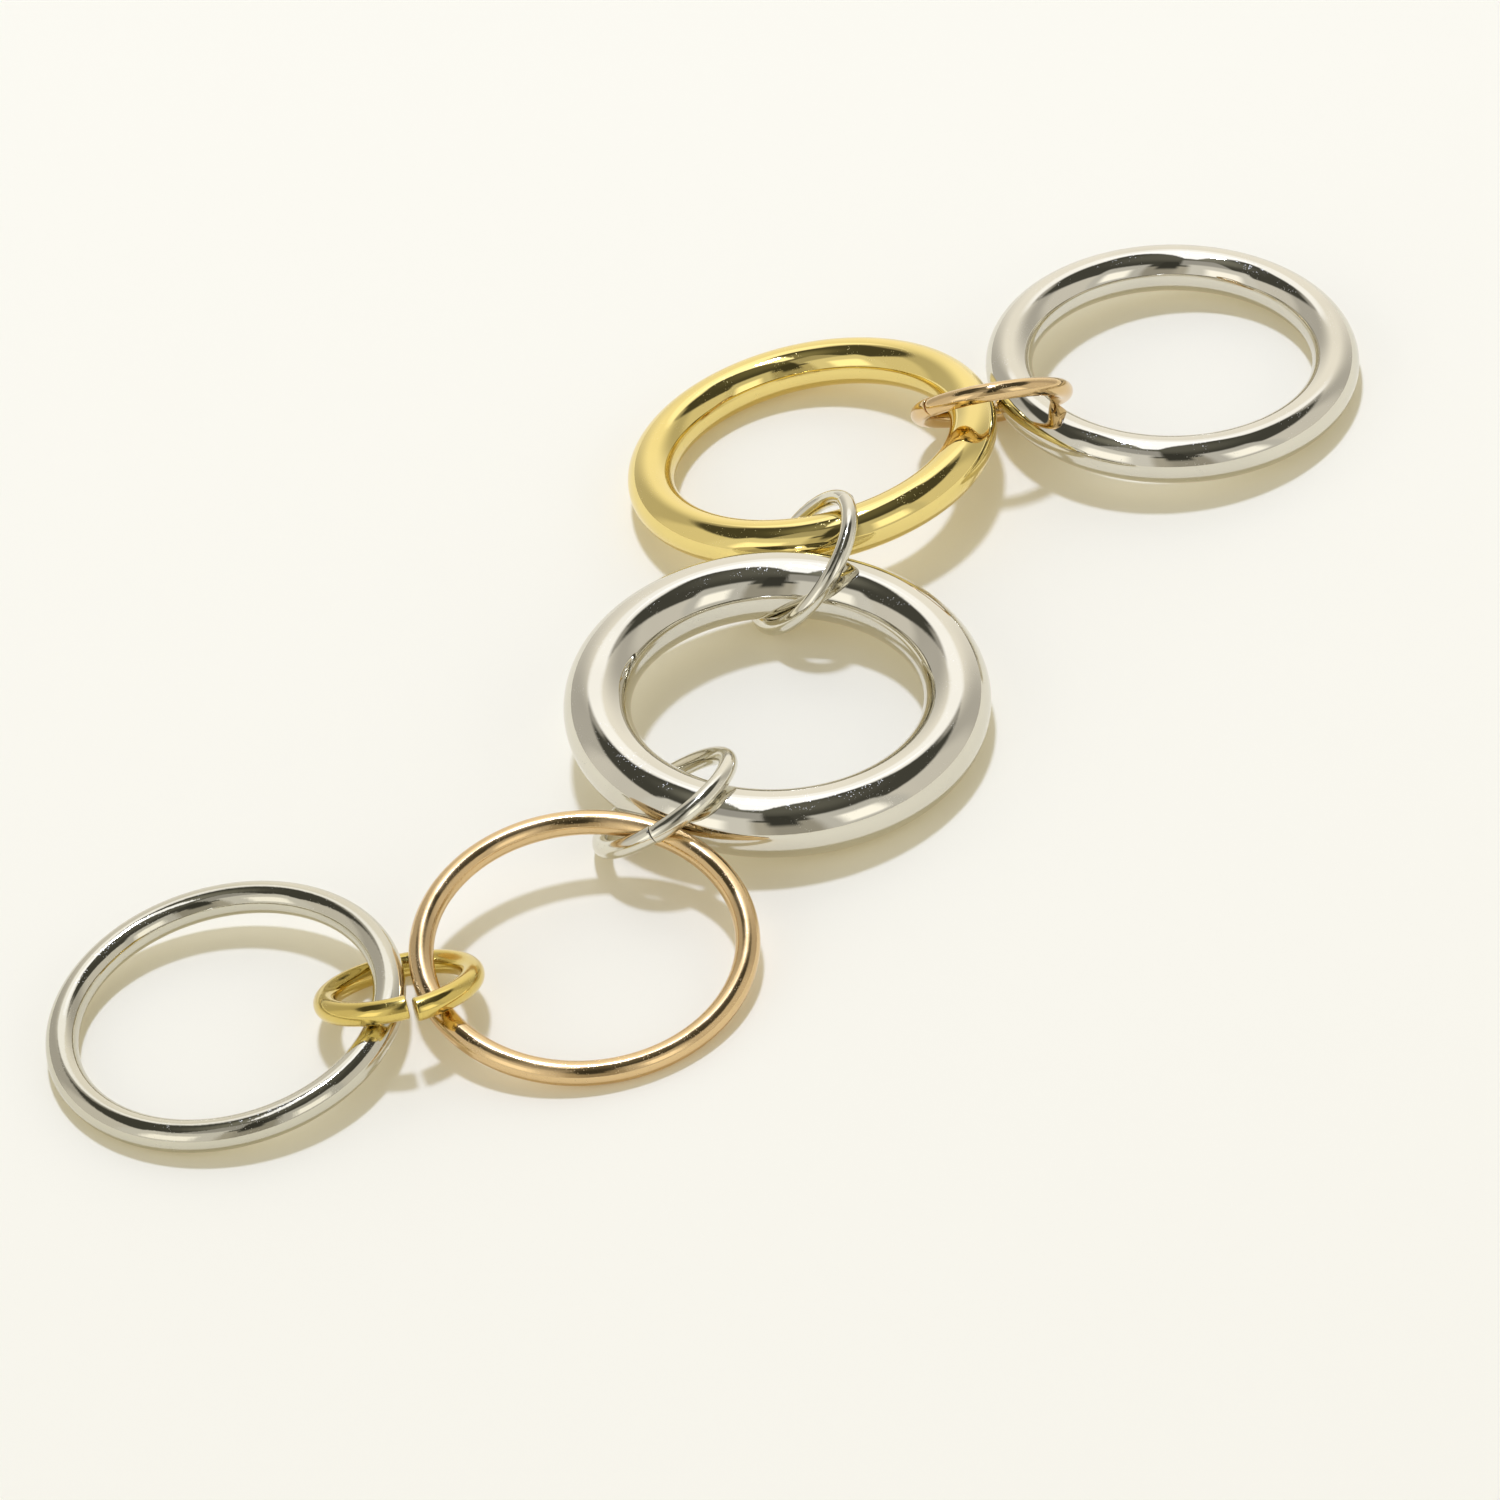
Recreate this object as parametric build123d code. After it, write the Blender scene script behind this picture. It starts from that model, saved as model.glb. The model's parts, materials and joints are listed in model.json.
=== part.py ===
from build123d import *
import math
import os

# Five finger rings of polished round wire, threaded in a row by four small jump rings.
# They lie spread out on a flat surface at z = 0, slim silver ring at the low X, low Y end.
# Units are millimetres.

# Every finger ring has the same hole, so the set is worn on one finger.
FINGER_HOLE_D = 17.3

# Wire diameters of the finger rings.
SILVER_SLIM_WIRE_D = 1.9
ROSE_FINE_WIRE_D = 1.45
SILVER_HEAVY_WIRE_D = 4.0
GOLD_MEDIUM_WIRE_D = 2.9
SILVER_MEDIUM_WIRE_D = 2.9

# Jump rings: wire diameter and clear hole inside the wire.
GOLD_JUMP_WIRE_D = 1.4
GOLD_JUMP_HOLE_D = 7.2
FRONT_JUMP_WIRE_D = 1.1
FRONT_JUMP_HOLE_D = 7.8
BACK_JUMP_WIRE_D = 1.0
BACK_JUMP_HOLE_D = 7.9
ROSE_JUMP_WIRE_D = 1.15
ROSE_JUMP_HOLE_D = 7.8

# A jump ring is one turn cut from a coil, so its two ends stand apart sideways by the
# coil's pitch, and the saw cut leaves a gap between them.
GOLD_JUMP_GAP = 0.40
GOLD_JUMP_PITCH = 0.30
FRONT_JUMP_GAP = 0.08
FRONT_JUMP_PITCH = 0.06
BACK_JUMP_GAP = 0.14
BACK_JUMP_PITCH = 0.20
ROSE_JUMP_GAP = 0.14
ROSE_JUMP_PITCH = 0.06


def resting_location(x, y, centre_r, wire_r, lean, high_side):
    """Place a flat ring so that its lowest point touches z = 0.

    lean is the angle between the ring and the surface, and high_side is the compass
    angle, counter-clockwise from +X, of the part of the ring that is lifted.
    """
    z = wire_r + centre_r * math.sin(math.radians(lean))
    return Pos(x, y, z) * Rot(0, 0, high_side) * Rot(0, -lean, 0)


def finger_ring(wire_d, x, y, lean, high_side):
    """A closed ring of round wire."""
    wire_r = wire_d / 2
    centre_r = FINGER_HOLE_D / 2 + wire_r
    return resting_location(x, y, centre_r, wire_r, lean, high_side) * Torus(centre_r, wire_r)


def jump_ring(wire_d, hole_d, gap, pitch, gap_at, x, y, lean, high_side):
    """One turn of a coil of round wire with sawn ends.

    gap_at is the angle of the cut, counter-clockwise from the lifted side.
    """
    wire_r = wire_d / 2
    centre_r = hole_d / 2 + wire_r
    turn = 1 - gap / (2 * math.pi * centre_r)
    coil = Helix(pitch=pitch, height=pitch * turn, radius=centre_r)
    section = Plane(origin=coil @ 0, z_dir=coil % 0) * Circle(wire_r)
    wire = sweep(section, path=coil, is_frenet=True)
    half_gap_angle = math.degrees(gap / 2 / centre_r)
    wire = Rot(0, 0, gap_at + half_gap_angle) * Pos(0, 0, -pitch * turn / 2) * wire
    return resting_location(x, y, centre_r, wire_r, lean, high_side) * wire


def silver_slim_ring():
    return finger_ring(SILVER_SLIM_WIRE_D, x=-31.1, y=-24.5, lean=5.0, high_side=33)


def gold_jump_ring():
    return jump_ring(
        GOLD_JUMP_WIRE_D, GOLD_JUMP_HOLE_D, GOLD_JUMP_GAP, GOLD_JUMP_PITCH,
        gap_at=0, x=-21.01, y=-25.12, lean=23.5, high_side=-79.4,
    )


def rose_fine_ring():
    return finger_ring(ROSE_FINE_WIRE_D, x=-10.2, y=-23.7, lean=10.0, high_side=109)


def silver_front_jump_ring():
    return jump_ring(
        FRONT_JUMP_WIRE_D, FRONT_JUMP_HOLE_D, FRONT_JUMP_GAP, FRONT_JUMP_PITCH,
        gap_at=-60, x=-4.56, y=-12.73, lean=33.3, high_side=-37.3,
    )


def silver_heavy_ring():
    return finger_ring(SILVER_HEAVY_WIRE_D, x=2.8, y=-4.9, lean=5.0, high_side=148)


def silver_back_jump_ring():
    return jump_ring(
        BACK_JUMP_WIRE_D, BACK_JUMP_HOLE_D, BACK_JUMP_GAP, BACK_JUMP_PITCH,
        gap_at=23, x=5.66, y=7.04, lean=45.5, high_side=-3.4,
    )


def gold_medium_ring():
    return finger_ring(GOLD_MEDIUM_WIRE_D, x=7.2, y=19.1, lean=7.5, high_side=-50)


def rose_jump_ring():
    return jump_ring(
        ROSE_JUMP_WIRE_D, ROSE_JUMP_HOLE_D, ROSE_JUMP_GAP, ROSE_JUMP_PITCH,
        gap_at=-58, x=18.55, y=19.96, lean=45.8, high_side=-88.3,
    )


def silver_medium_ring():
    return finger_ring(SILVER_MEDIUM_WIRE_D, x=30.1, y=23.5, lean=4.5, high_side=-174)


PIECES = [
    silver_slim_ring,
    gold_jump_ring,
    rose_fine_ring,
    silver_front_jump_ring,
    silver_heavy_ring,
    silver_back_jump_ring,
    gold_medium_ring,
    rose_jump_ring,
    silver_medium_ring,
]

os.makedirs("parts", exist_ok=True)
for piece in PIECES:
    export_step(piece(), f"parts/{piece.__name__}.step")
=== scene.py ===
"""Five polished finger rings threaded in a row by four small jump rings, on cream paper.

Every ring is rebuilt here as a fine mesh of drawn and polished wire around the CAD frame.
Lengths are in metres unless a name ends in _MM, angles in degrees.
"""

import json
import math

import bpy
from mathutils import Matrix, Vector


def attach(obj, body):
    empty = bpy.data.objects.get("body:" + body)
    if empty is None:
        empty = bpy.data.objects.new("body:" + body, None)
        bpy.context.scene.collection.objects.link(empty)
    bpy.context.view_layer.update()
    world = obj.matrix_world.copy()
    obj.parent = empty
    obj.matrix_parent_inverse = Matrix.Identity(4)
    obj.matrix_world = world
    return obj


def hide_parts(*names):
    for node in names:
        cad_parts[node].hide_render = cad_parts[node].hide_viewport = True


MM = 0.001

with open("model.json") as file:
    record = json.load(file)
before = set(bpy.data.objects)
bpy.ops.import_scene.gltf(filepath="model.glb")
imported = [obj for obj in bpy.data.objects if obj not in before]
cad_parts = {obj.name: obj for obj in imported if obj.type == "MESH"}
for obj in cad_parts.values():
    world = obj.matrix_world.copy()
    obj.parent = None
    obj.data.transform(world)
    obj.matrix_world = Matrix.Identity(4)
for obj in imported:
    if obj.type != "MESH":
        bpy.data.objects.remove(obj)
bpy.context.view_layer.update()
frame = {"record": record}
mounts = {mount["name"]: mount for mount in frame["record"]["mounts"]}

# ---------------------------------------------------------------- design

# Finger rings: node, then the mount at its finger hole.
FINGER_RINGS = {
    "silver_slim_ring": "slim_finger_hole",
    "rose_fine_ring": "fine_finger_hole",
    "silver_heavy_ring": "heavy_finger_hole",
    "gold_medium_ring": "gold_finger_hole",
    "silver_medium_ring": "medium_finger_hole",
}

SILVER = (0.715, 0.685, 0.59)
WORN_SILVER = (0.66, 0.63, 0.52)
BRIGHT_SILVER = (0.75, 0.72, 0.61)
YELLOW_GOLD = (0.865, 0.70, 0.265)
OLD_GOLD = (0.745, 0.575, 0.17)
ROSE_GOLD = (0.745, 0.54, 0.283)

# What each ring is made of: material slot, colour, roughness and the strength of its grain.
LOOKS = {
    "silver_slim_ring": ("silver", WORN_SILVER, 0.045, 3.0),
    "gold_jump_ring": ("yellow_gold", OLD_GOLD, 0.10, 1.5),
    "rose_fine_ring": ("rose_gold", ROSE_GOLD, 0.15, 3.0),
    "silver_front_jump_ring": ("silver", BRIGHT_SILVER, 0.10, 1.5),
    "silver_heavy_ring": ("silver", SILVER, 0.016, 1.0),
    "silver_back_jump_ring": ("silver", BRIGHT_SILVER, 0.08, 1.5),
    "gold_medium_ring": ("yellow_gold", YELLOW_GOLD, 0.022, 0.8),
    "rose_jump_ring": ("rose_gold", ROSE_GOLD, 0.09, 1.2),
    "silver_medium_ring": ("silver", SILVER, 0.018, 0.7),
}

# Jump rings: wire and hole diameters, the saw cut's gap, the coil's pitch and the cut's angle
# from the lifted side, then where the ring's centre lies, how far it leans and the compass
# angle of its lifted side. In millimetres and degrees.
JUMP_RINGS = {
    "gold_jump_ring": dict(
        wire=1.4, hole=7.2, gap=0.40, pitch=0.30, gap_at=0,
        x=-21.01, y=-25.12, lean=23.5, high_side=-79.4,
    ),
    "silver_front_jump_ring": dict(
        wire=1.1, hole=7.8, gap=0.05, pitch=0.06, gap_at=-60,
        x=-4.56, y=-12.73, lean=33.3, high_side=-37.3,
    ),
    "silver_back_jump_ring": dict(
        wire=1.0, hole=7.9, gap=0.14, pitch=0.20, gap_at=23,
        x=5.66, y=7.04, lean=45.5, high_side=-3.4,
    ),
    "rose_jump_ring": dict(
        wire=1.15, hole=7.8, gap=0.14, pitch=0.06, gap_at=-58,
        x=18.55, y=19.96, lean=45.8, high_side=-88.3,
    ),
}

# How finely the wires are meshed: cross-sections along a ring and points round its wire.
STEPS_ALONG = 384
STEPS_ROUND = 72
JUMP_STEPS_ALONG = 224
JUMP_STEPS_ROUND = 48

# The filed edges of a saw cut: their size, as a share of the wire's radius and at most as a
# share of the gap, and the angles of the steps that round them.
EDGE_OF_WIRE = 0.12
EDGE_OF_GAP = 0.35
EDGE_ANGLES = (0, 0.5, 1.0, math.pi / 2)

# ---------------------------------------------------------------- wire meshes


def ring_frame(centre, normal):
    """A matrix whose Z is the ring's axis and whose origin is its centre."""
    z = Vector(normal).normalized()
    x = Vector((1, 0, 0)) - z * z.x
    x.normalize()
    y = z.cross(x)
    return Matrix.Translation(centre) @ Matrix((x, y, z)).transposed().to_4x4()


def leaning_frame(ring, ring_r, wire_r):
    """The frame of a ring that leans on the surface, with X towards its lifted side."""
    height = wire_r + ring_r * math.sin(math.radians(ring["lean"]))
    centre = Vector((ring["x"] * MM, ring["y"] * MM, height))
    turn = Matrix.Rotation(math.radians(ring["high_side"]), 4, "Z")
    tip = Matrix.Rotation(math.radians(-ring["lean"]), 4, "Y")
    return Matrix.Translation(centre) @ turn @ tip


def add_wire(name, sections, closed, wire_steps, place):
    """A tube through sections, each a list of points, as one smooth mesh."""
    verts = [place @ p for section in sections for p in section]
    faces = []
    count = len(sections)
    for i in range(count if closed else count - 1):
        a = i * wire_steps
        b = (i + 1) % count * wire_steps
        for k in range(wire_steps):
            n = (k + 1) % wire_steps
            faces.append((a + k, b + k, b + n, a + n))
    if not closed:
        faces.append(tuple(range(wire_steps)))
        last = (count - 1) * wire_steps
        faces.append(tuple(last + k for k in reversed(range(wire_steps))))
    mesh = bpy.data.meshes.new(name)
    mesh.from_pydata(verts, [], faces)
    mesh.shade_smooth()
    piece = bpy.data.objects.new(name, mesh)
    bpy.context.scene.collection.objects.link(piece)
    return piece


def circle_section(ring_r, wire_r, angle, steps, lift=0.0):
    """The wire's cross-section at an angle round the ring."""
    out = Vector((math.cos(angle), math.sin(angle), 0))
    up = Vector((0, 0, 1))
    centre = out * ring_r + up * lift
    points = []
    for k in range(steps):
        t = 2 * math.pi * k / steps
        points.append(centre + (out * math.cos(t) + up * math.sin(t)) * wire_r)
    return points


def finger_ring(node, mount_name):
    """A closed ring of round wire, as the mount at its hole gives it."""
    mount = mounts[mount_name]
    wire_r = mount["dims"]["length_mm"] / 2 * MM
    ring_r = mount["dims"]["r_mm"] * MM + wire_r
    sections = []
    for i in range(STEPS_ALONG):
        angle = 2 * math.pi * i / STEPS_ALONG
        sections.append(circle_section(ring_r, wire_r, angle, STEPS_ROUND))
    place = ring_frame(Vector(mount["pos_m"]), mount["axis"])
    return add_wire(node + ".wire", sections, True, STEPS_ROUND, place)


def jump_ring(node, ring):
    """One turn of a coil with sawn ends, its edges just broken by the file."""
    wire_r = ring["wire"] / 2 * MM
    ring_r = ring["hole"] / 2 * MM + wire_r
    half_gap = ring["gap"] / 2 * MM / ring_r
    pitch = ring["pitch"] * MM
    start = math.radians(ring["gap_at"]) + half_gap
    turn = 2 * math.pi - 2 * half_gap
    edge = min(wire_r * EDGE_OF_WIRE, ring["gap"] * EDGE_OF_GAP * MM)
    stations = []
    for t in EDGE_ANGLES:
        stations.append((edge * (1 - math.cos(t)), edge * (1 - math.sin(t))))
    sections = []
    for along, inset in stations:
        sections.append((start + along / ring_r, wire_r - inset))
    plain = turn - 2 * edge / ring_r
    for i in range(1, JUMP_STEPS_ALONG):
        sections.append((start + edge / ring_r + plain * i / JUMP_STEPS_ALONG, wire_r))
    for along, inset in reversed(stations):
        sections.append((start + turn - along / ring_r, wire_r - inset))
    rows = []
    for angle, radius in sections:
        lift = pitch * ((angle - start) / turn - 0.5)
        rows.append(circle_section(ring_r, radius, angle, JUMP_STEPS_ROUND, lift))
    place = leaning_frame(ring, ring_r, wire_r)
    return add_wire(node + ".wire", rows, False, JUMP_STEPS_ROUND, place)


# ---------------------------------------------------------------- shader helpers


class Graph:
    """Short names for the few nodes that the materials and the surroundings use."""

    def __init__(self, tree):
        self.tree = tree

    def node(self, kind, **settings):
        made = self.tree.nodes.new(kind)
        for key, value in settings.items():
            setattr(made, key, value)
        return made

    def plug(self, value, socket):
        if isinstance(value, bpy.types.NodeSocket):
            self.tree.links.new(value, socket)
        else:
            socket.default_value = value

    def math(self, operation, a, b=0.0):
        made = self.node("ShaderNodeMath", operation=operation)
        self.plug(a, made.inputs[0])
        self.plug(b, made.inputs[1])
        return made.outputs[0]

    def ramp(self, value, start, end, low=0.0, high=1.0):
        """A smooth step from low at start to high at end."""
        made = self.node("ShaderNodeMapRange", interpolation_type="SMOOTHSTEP")
        self.plug(value, made.inputs["Value"])
        made.inputs["From Min"].default_value = start
        made.inputs["From Max"].default_value = end
        made.inputs["To Min"].default_value = low
        made.inputs["To Max"].default_value = high
        return made.outputs["Result"]

    def mix(self, factor, a, b):
        made = self.node("ShaderNodeMix", data_type="RGBA")
        self.plug(factor, made.inputs[0])
        self.plug(a, made.inputs[6])
        self.plug(b, made.inputs[7])
        return made.outputs[2]

    def noise(self, vector, scale, detail=2.0, roughness=0.5):
        made = self.node("ShaderNodeTexNoise")
        self.plug(vector, made.inputs["Vector"])
        made.inputs["Scale"].default_value = scale
        made.inputs["Detail"].default_value = detail
        made.inputs["Roughness"].default_value = roughness
        return made.outputs["Fac"]


# ---------------------------------------------------------------- metals

# Scales are in features per metre, and a pair is where a pattern starts and where it is full.
TONE_SCALE = 160.0
TONE_STEP = (0.3, 0.7)
TONE_SPREAD = 0.03          # how much darker or brighter than the metal's colour
PIT_SCALE = 8500.0
PIT_EDGE = (0.30, 0.18)
PIT_ROUGHNESS = 0.40
PATCH_SCALE = 480.0         # areas that have pits
PATCH_STEP = (0.46, 0.60)
PICK_SCALE = 3300.0         # which pits are there inside an area
PICK_STEP = (0.46, 0.56)
CLOUD_SCALE = 300.0         # duller and brighter areas of the polish
CLOUD_STEP = (0.35, 0.7)
CLOUD_RANGE = (0.6, 1.7)
WAVE_SCALE = 220.0          # long shallow waves left by the buffing wheel
WAVE_HEIGHT = 0.00003
GRAIN_SCALE = 2600.0
GRAIN_HEIGHT = 0.0000015


def polished_metal(name, color, roughness, grain):
    """Buffed metal: faintly wavy, a fine grain, and patches of tiny pits that scatter light."""
    material = bpy.data.materials.new(name)
    material.use_nodes = True
    g = Graph(material.node_tree)
    shader = material.node_tree.nodes["Principled BSDF"]
    shader.inputs["Metallic"].default_value = 1.0
    place = g.node("ShaderNodeTexCoord").outputs["Object"]

    tone = g.ramp(g.noise(place, TONE_SCALE, 2.0), *TONE_STEP)
    dull = (*[c * (1 - TONE_SPREAD) for c in color], 1)
    bright = (*[c * (1 + TONE_SPREAD) for c in color], 1)
    g.plug(g.mix(tone, dull, bright), shader.inputs["Base Color"])

    cell = g.node("ShaderNodeTexVoronoi", feature="F1")
    g.plug(place, cell.inputs["Vector"])
    cell.inputs["Scale"].default_value = PIT_SCALE
    pit = g.ramp(cell.outputs["Distance"], *PIT_EDGE)
    patch = g.ramp(g.noise(place, PATCH_SCALE, 3.0), *PATCH_STEP)
    pick = g.ramp(g.noise(place, PICK_SCALE, 1.0), *PICK_STEP)
    pits = g.math("MULTIPLY", g.math("MULTIPLY", pit, patch), pick)
    low, high = (roughness * share for share in CLOUD_RANGE)
    cloud = g.ramp(g.noise(place, CLOUD_SCALE, 2.0), *CLOUD_STEP, low, high)
    rough = g.math("ADD", cloud, g.math("MULTIPLY", pits, PIT_ROUGHNESS))
    g.plug(rough, shader.inputs["Roughness"])

    wave = g.node("ShaderNodeBump")
    wave.inputs["Distance"].default_value = WAVE_HEIGHT
    g.plug(g.noise(place, WAVE_SCALE, 1.0), wave.inputs["Height"])
    fine = g.node("ShaderNodeBump")
    fine.inputs["Distance"].default_value = GRAIN_HEIGHT * grain
    g.plug(g.noise(place, GRAIN_SCALE, 3.0), fine.inputs["Height"])
    g.plug(wave.outputs["Normal"], fine.inputs["Normal"])
    g.plug(fine.outputs["Normal"], shader.inputs["Normal"])
    return material


# ---------------------------------------------------------------- the object


def fit_out(piece, node):
    """Give a visual piece its metal and put it in its node's place."""
    slot, color, roughness, grain = LOOKS[node]
    piece.data.materials.append(polished_metal(node + "_metal", color, roughness, grain))
    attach(piece, node)
    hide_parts(node)


for node, mount_name in FINGER_RINGS.items():
    fit_out(finger_ring(node, mount_name), node)
for node, ring in JUMP_RINGS.items():
    fit_out(jump_ring(node, ring), node)

# ---------------------------------------------------------------- floor

FLOOR_HALF = 3.0
PAPER = (0.88, 0.865, 0.74)
PAPER_ROUGHNESS = 0.9
# Painted fill light: the paper glows faintly and warmly, which lifts and warms the shadows on the
# floor.
PAPER_PAINTED_FILL = (0.145, 0.116, 0.061)

floor_mesh = bpy.data.meshes.new("floor")
corners = [(x * FLOOR_HALF, y * FLOOR_HALF, 0) for x, y in ((-1, -1), (1, -1), (1, 1), (-1, 1))]
floor_mesh.from_pydata(corners, [], [(0, 1, 2, 3)])
floor = bpy.data.objects.new("floor", floor_mesh)
bpy.context.scene.collection.objects.link(floor)
paper = bpy.data.materials.new("paper")
paper.use_nodes = True
paper_shader = paper.node_tree.nodes["Principled BSDF"]
paper_shader.inputs["Base Color"].default_value = (*PAPER, 1)
paper_shader.inputs["Roughness"].default_value = PAPER_ROUGHNESS
paper_shader.inputs["Specular IOR Level"].default_value = 0.0
# The paper's emission is painted fill light that brightens its shadows.
paper_shader.inputs["Emission Color"].default_value = (*PAPER_PAINTED_FILL, 1)
paper_shader.inputs["Emission Strength"].default_value = 1.0
floor_mesh.materials.append(paper)

# ---------------------------------------------------------------- surroundings

STUDIO_BRIGHTNESS = 1.176
WALL_TINT = (1.0, 0.962, 0.895)
LAMP_TINT = (1.0, 0.996, 1.013)
ROOF_TINT = (1.0, 0.98, 0.82)
FRONT_TINT = (1.0, 0.944, 0.808)
BOX_TINT = (1.0, 0.98, 0.935)
PANEL_TINT = (1.0, 1.016, 1.104)

# The roof: its level away from the zenith, at the zenith and on the left.
ROOF_LEVEL = 0.060
ZENITH_LEVEL = 0.115
ZENITH_EDGE = (58, 80)
LEFT_ROOF_LEVEL = 0.22
LEFT_ROOF_WAY = (160, 40, 100)
LEFT_ROOF_EDGE = (64, 84)

# The walls: the level of their grey corners, and where they end in elevation.
WALL_LEVEL = 0.46
WALL_TOP = (39.5, 45.0)

# Paler and darker stretches of wall: compass angle, how far to each side it is full and where
# it ends, level and tint.
WALL_STRETCHES = [
    (350, 18, 36, 0.64, WALL_TINT),     # right side
    (185, 22, 36, 0.64, WALL_TINT),     # left side
    (79, 8, 48, 0.92, WALL_TINT),       # the paper's sweep behind
    (250, 10, 22, 0.43, FRONT_TINT),    # front, left of the camera
    (278, 12, 20, 0.33, FRONT_TINT),    # front, right of the camera
]

# What stands before the walls, in painting order: compass angle, how far to each side it is
# full and where it ends, its foot and top as pairs of elevations, level and tint.
THINGS = [
    (82, 34, 46, (40, 44), (47, 52), 0.37, WALL_TINT),      # upper edge of the back wall
    (82, 21, 33, (36, 42), (56, 61), 1.10, LAMP_TINT),      # glow on top of the sweep
    (235, 22, 28, (46, 50), (72, 77), 0.36, BOX_TINT),      # grey flag over the left soft box
    (224, 25, 32, (-12, 0), (50, 57), 0.68, BOX_TINT),      # left soft box, its dimmer rim
    (224, 10, 18, (4, 12), (32, 41), 1.16, BOX_TINT),       # left soft box, its bright panel
    (309, 18, 25, (-12, 0), (50, 57), 0.55, BOX_TINT),      # right soft box, its dimmer rim
    (309, 7, 15, (4, 12), (32, 41), 1.16, BOX_TINT),        # right soft box, its bright panel
    (270, 6, 11, (22, 37), (60, 66), 0.045, ROOF_TINT),     # the camera's dark side
]

# The long panel overhead, on a ceiling one room height up: lengths are in room heights, its
# middle line and half width change along Y, and a pair is where it ends and where it is full.
PANEL_LEVEL = 1.25
PANEL_SKEW = 0.25
PANEL_MIDDLE = -0.035
PANEL_WIDENING = 0.13
PANEL_HALF_WIDTH = 0.06
PANEL_LEAST_HALF_WIDTH = 0.03
PANEL_SIDE_EDGE = (1.25, 0.80)
PANEL_CENTRE_Y = 0.36
PANEL_END_EDGE = (0.52, 0.41)
LOWEST_RISE = 0.05          # keeps level rays off the ceiling

BACKDROP = (0.905, 0.88, 0.81)      # what the camera sees past the floor


def grey(value, tint):
    """A tinted light level of the surroundings."""
    level = value * STUDIO_BRIGHTNESS
    return (level * tint[0], level * tint[1], level * tint[2], 1)


def compass(angle, elevation):
    """The direction at a compass angle and an elevation."""
    a = math.radians(angle)
    e = math.radians(elevation)
    return (math.cos(e) * math.cos(a), math.cos(e) * math.sin(a), math.sin(e))


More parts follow.
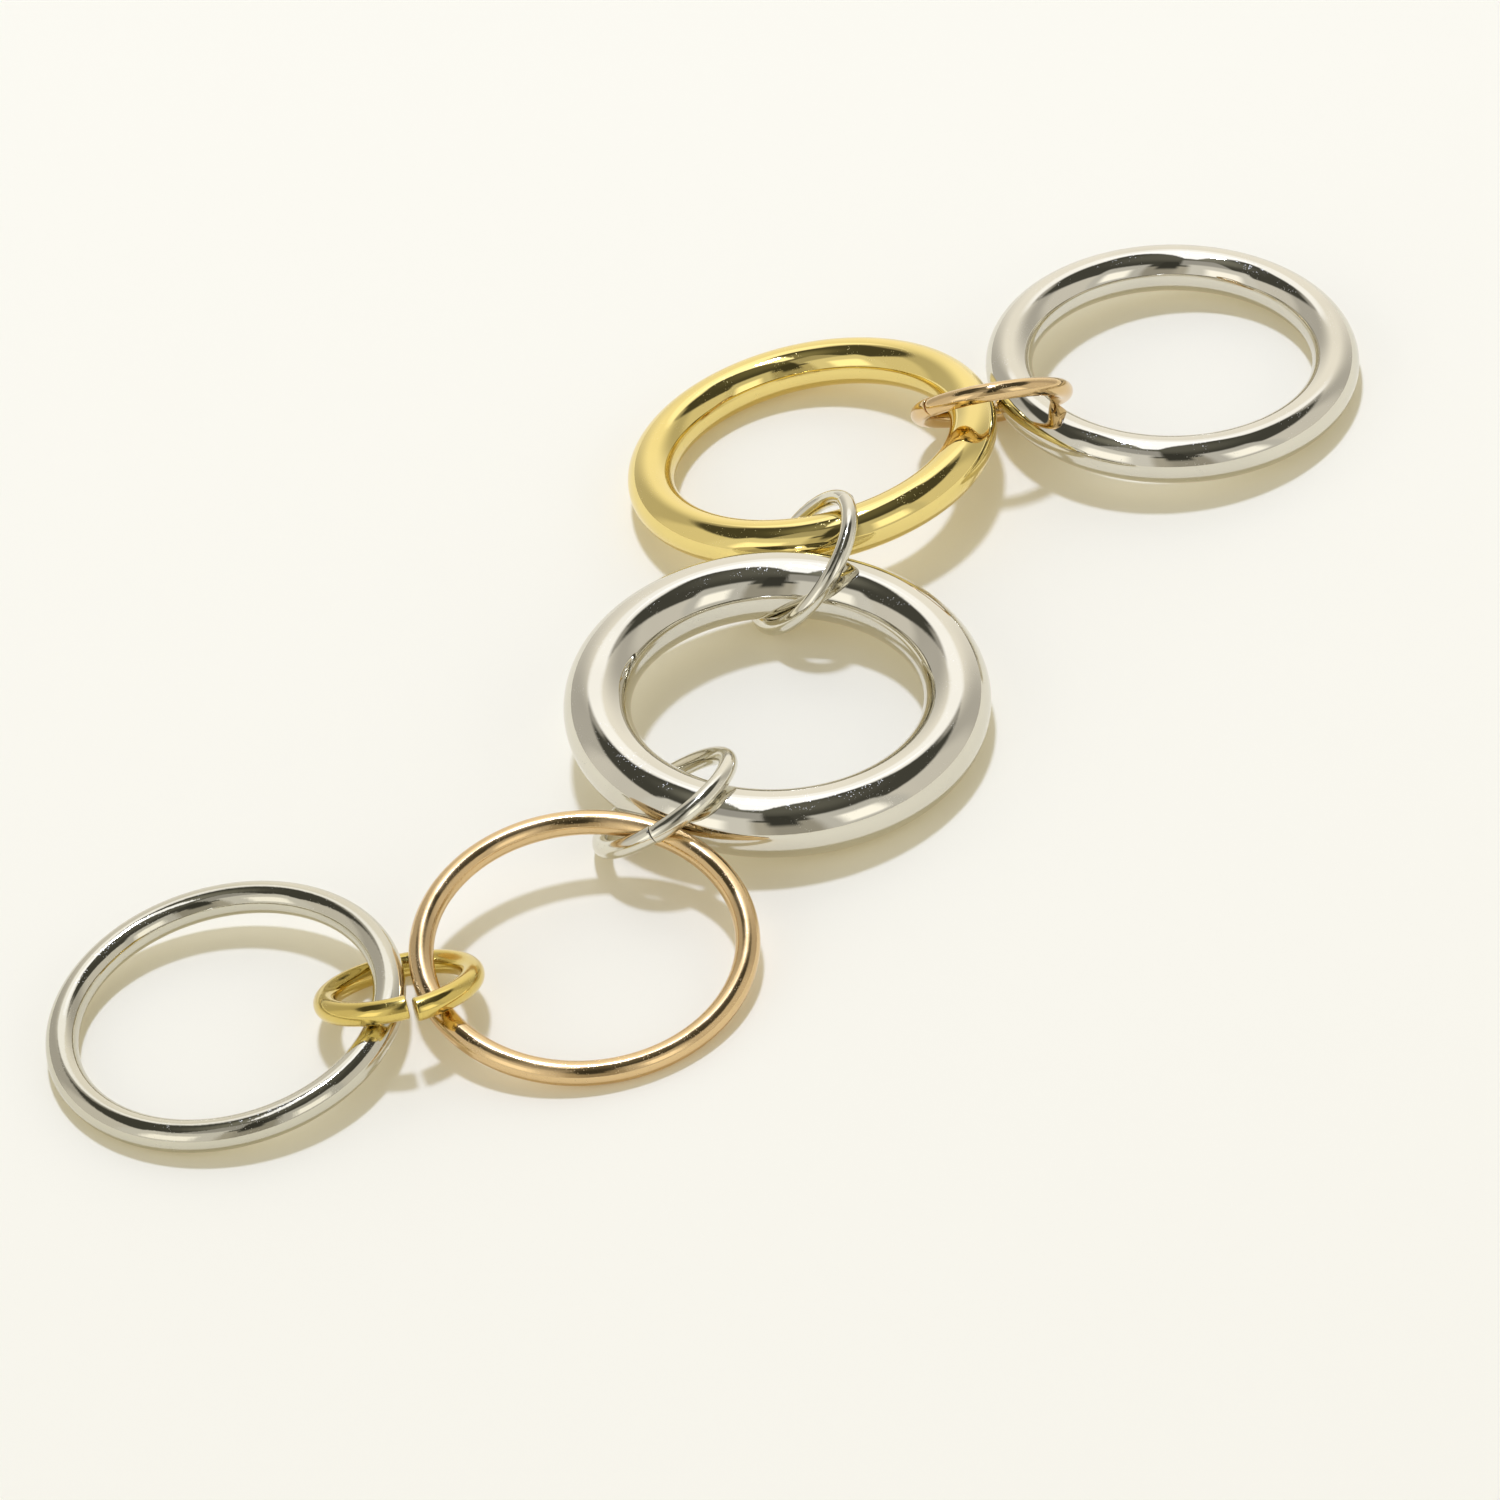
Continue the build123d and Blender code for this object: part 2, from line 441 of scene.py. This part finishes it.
def studio(tree):
    """A pale room with a dark ceiling, a long overhead panel and two soft boxes in front."""
    g = Graph(tree)
    tree.nodes.clear()
    way = g.node("ShaderNodeTexCoord").outputs["Generated"]
    split = g.node("ShaderNodeSeparateXYZ")
    g.plug(way, split.inputs[0])
    x, y, z = split.outputs
    level = g.math("SQRT", g.math("ADD", g.math("MULTIPLY", x, x), g.math("MULTIPLY", y, y)))
    hx = g.math("DIVIDE", x, level)
    hy = g.math("DIVIDE", y, level)
    height = g.math("ARCTAN2", z, level)

    def elevation(low, high):
        """0 below the first angle and 1 above the second."""
        return g.ramp(height, math.radians(low), math.radians(high))

    def towards(angle, near, far):
        """1 within near degrees of a compass angle and 0 beyond far."""
        a = math.radians(angle)
        along_x = g.math("MULTIPLY", hx, math.cos(a))
        along_y = g.math("MULTIPLY", hy, math.sin(a))
        c = g.math("ADD", along_x, along_y)
        away = g.math("ARCCOSINE", g.math("MINIMUM", c, 1.0))
        return g.ramp(away, math.radians(far), math.radians(near))

    def both(a, b):
        return g.math("MULTIPLY", a, b)

    def inverse(a):
        return g.math("SUBTRACT", 1.0, a)

    sky = g.mix(elevation(*ZENITH_EDGE), grey(ROOF_LEVEL, ROOF_TINT), grey(ZENITH_LEVEL, ROOF_TINT))
    left_roof = both(towards(*LEFT_ROOF_WAY), elevation(*LEFT_ROOF_EDGE))
    sky = g.mix(left_roof, sky, grey(LEFT_ROOF_LEVEL, ROOF_TINT))

    wall = grey(WALL_LEVEL, WALL_TINT)
    for angle, near, far, value, tint in WALL_STRETCHES:
        wall = g.mix(towards(angle, near, far), wall, grey(value, tint))
    sky = g.mix(inverse(elevation(*WALL_TOP)), sky, wall)

    for angle, near, far, foot, top, value, tint in THINGS:
        upright = both(elevation(*foot), inverse(elevation(*top)))
        sky = g.mix(both(towards(angle, near, far), upright), sky, grey(value, tint))

    # px and py are where a ray meets the ceiling
    above = g.math("MAXIMUM", z, LOWEST_RISE)
    px = g.math("DIVIDE", x, above)
    py = g.math("DIVIDE", y, above)
    middle = g.math("ADD", g.math("MULTIPLY", py, PANEL_SKEW), PANEL_MIDDLE)
    half = g.math("ADD", g.math("MULTIPLY", py, PANEL_WIDENING), PANEL_HALF_WIDTH)
    half = g.math("MAXIMUM", half, PANEL_LEAST_HALF_WIDTH)
    across = g.math("DIVIDE", g.math("ABSOLUTE", g.math("SUBTRACT", px, middle)), half)
    along = g.math("ABSOLUTE", g.math("SUBTRACT", py, PANEL_CENTRE_Y))
    panel = both(g.ramp(across, *PANEL_SIDE_EDGE), g.ramp(along, *PANEL_END_EDGE))
    sky = g.mix(panel, sky, grey(PANEL_LEVEL, PANEL_TINT))

    seen = g.node("ShaderNodeLightPath").outputs["Is Camera Ray"]
    sky = g.mix(seen, sky, (*BACKDROP, 1))
    background = g.node("ShaderNodeBackground")
    g.plug(sky, background.inputs["Color"])
    output = g.node("ShaderNodeOutputWorld")
    g.plug(background.outputs[0], output.inputs["Surface"])


world = bpy.data.worlds.new("studio")
world.use_nodes = True
bpy.context.scene.world = world
studio(world.node_tree)

# The key light: one square soft lamp, high and slightly behind.
KEY_COMPASS = 87.5
KEY_ELEVATION = 72.0
KEY_DISTANCE = 1.0
KEY_SIDE = 0.10
KEY_POWER = 5.97
KEY_TINT = (0.65, 0.72, 1.0)

key_data = bpy.data.lights.new("key", "AREA")
key_data.shape = "SQUARE"
key_data.size = KEY_SIDE
key_data.energy = KEY_POWER
key_data.color = KEY_TINT
key = bpy.data.objects.new("key", key_data)
bpy.context.scene.collection.objects.link(key)
key_way = Vector(compass(KEY_COMPASS, KEY_ELEVATION))
key.location = key_way * KEY_DISTANCE
key.rotation_mode = "QUATERNION"
key.rotation_quaternion = key_way.to_track_quat("Z", "Y")
key.visible_camera = False

# ---------------------------------------------------------------- camera

AIM = Vector((0.8, -5.4, 0)) * MM
CAMERA_ELEVATION = 39.27
CAMERA_ROLL = -8.23
CAMERA_DISTANCE = 474.07 * MM
SENSOR_WIDTH_MM = 36.0
LENS_MM = 192.0
NEAREST = 0.01
FARTHEST = 20.0

camera_data = bpy.data.cameras.new("camera")
camera_data.sensor_width = SENSOR_WIDTH_MM
camera_data.lens = LENS_MM
camera_data.clip_start = NEAREST
camera_data.clip_end = FARTHEST
camera = bpy.data.objects.new("camera", camera_data)
bpy.context.scene.collection.objects.link(camera)
bpy.context.scene.camera = camera
tilt = Matrix.Rotation(math.radians(90 - CAMERA_ELEVATION), 4, "X")
roll = Matrix.Rotation(math.radians(CAMERA_ROLL), 4, "Z")
stand_back = Matrix.Translation((0, 0, CAMERA_DISTANCE))
camera.matrix_world = Matrix.Translation(AIM) @ tilt @ roll @ stand_back

# ---------------------------------------------------------------- picture settings

scene = bpy.context.scene
scene.view_settings.view_transform = "Standard"
scene.view_settings.look = "None"
